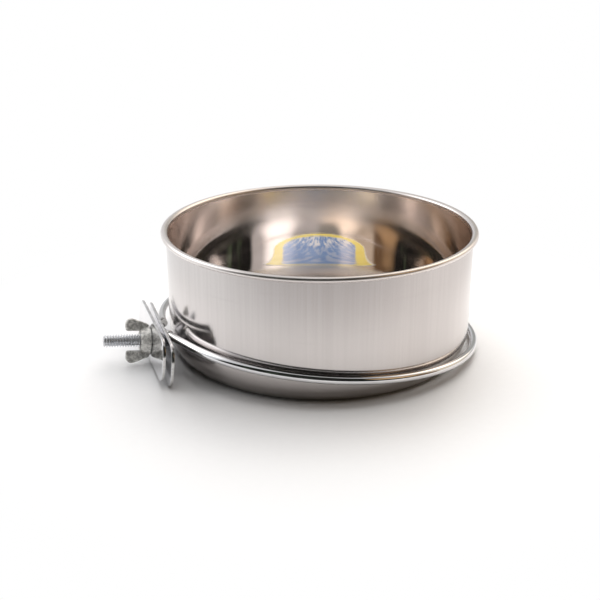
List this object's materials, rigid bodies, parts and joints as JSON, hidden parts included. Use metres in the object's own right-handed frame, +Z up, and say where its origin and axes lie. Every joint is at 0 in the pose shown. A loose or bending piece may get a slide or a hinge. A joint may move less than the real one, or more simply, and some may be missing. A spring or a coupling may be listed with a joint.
{
  "type": "seed cup",
  "caption": "Round steel seed cup standing in a wire holder ring whose bolt, wing nut and two flat plates clamp onto cage bars.",
  "frame": {"origin": "centre of the cup's flat base, on the surface it stands on", "axes": "+Z up along the cup's axis, -Y towards the viewer, the clamp to the left front at -X"},
  "size_m": [0.1802, 0.1579, 0.06],
  "materials": {
    "cup_steel": "stainless sheet, fine drawn lines outside, polished inside",
    "label_paper": "printed paper, plain blue field with a yellow border",
    "ring_chrome": "bright plated wire",
    "weld_metal": "plated weld spot",
    "plate_chrome": "polished flat plate",
    "bolt_zinc": "bright zinc thread",
    "nut_zinc": "dull grey die casting"
  },
  "bodies": {
    "holder": {"ring_wire": "ring_chrome", "near_weld": "weld_metal", "far_weld": "weld_metal", "inner_plate": "plate_chrome", "clamp_bolt": "bolt_zinc"},
    "cup": {"cup": "cup_steel", "floor_label": "label_paper"},
    "outer_plate": {"outer_plate": "plate_chrome"},
    "wing_nut": {"wing_nut": "nut_zinc"}
  },
  "joints": [
    {"name": "cup_lift", "type": "slide", "parent": "holder", "child": "cup", "axis": [0, 0, 1], "range_m": [0, 0.1]},
    {"name": "plate_slide", "type": "slide", "parent": "holder", "child": "outer_plate", "axis": [-0.946, -0.3074, 0.1031], "range_m": [-0.00191, 0.00636]},
    {"name": "nut_turn", "type": "hinge", "parent": "outer_plate", "child": "wing_nut", "pos_m": [-0.08017, -0.02735, 0.01054], "axis": [-0.946, -0.3074, 0.1031], "range_deg": [-540, 1800]}
  ],
  "couplings": [
    {"joint": "plate_slide", "follows": "nut_turn", "m_per_rad": 0.00020213}
  ]
}
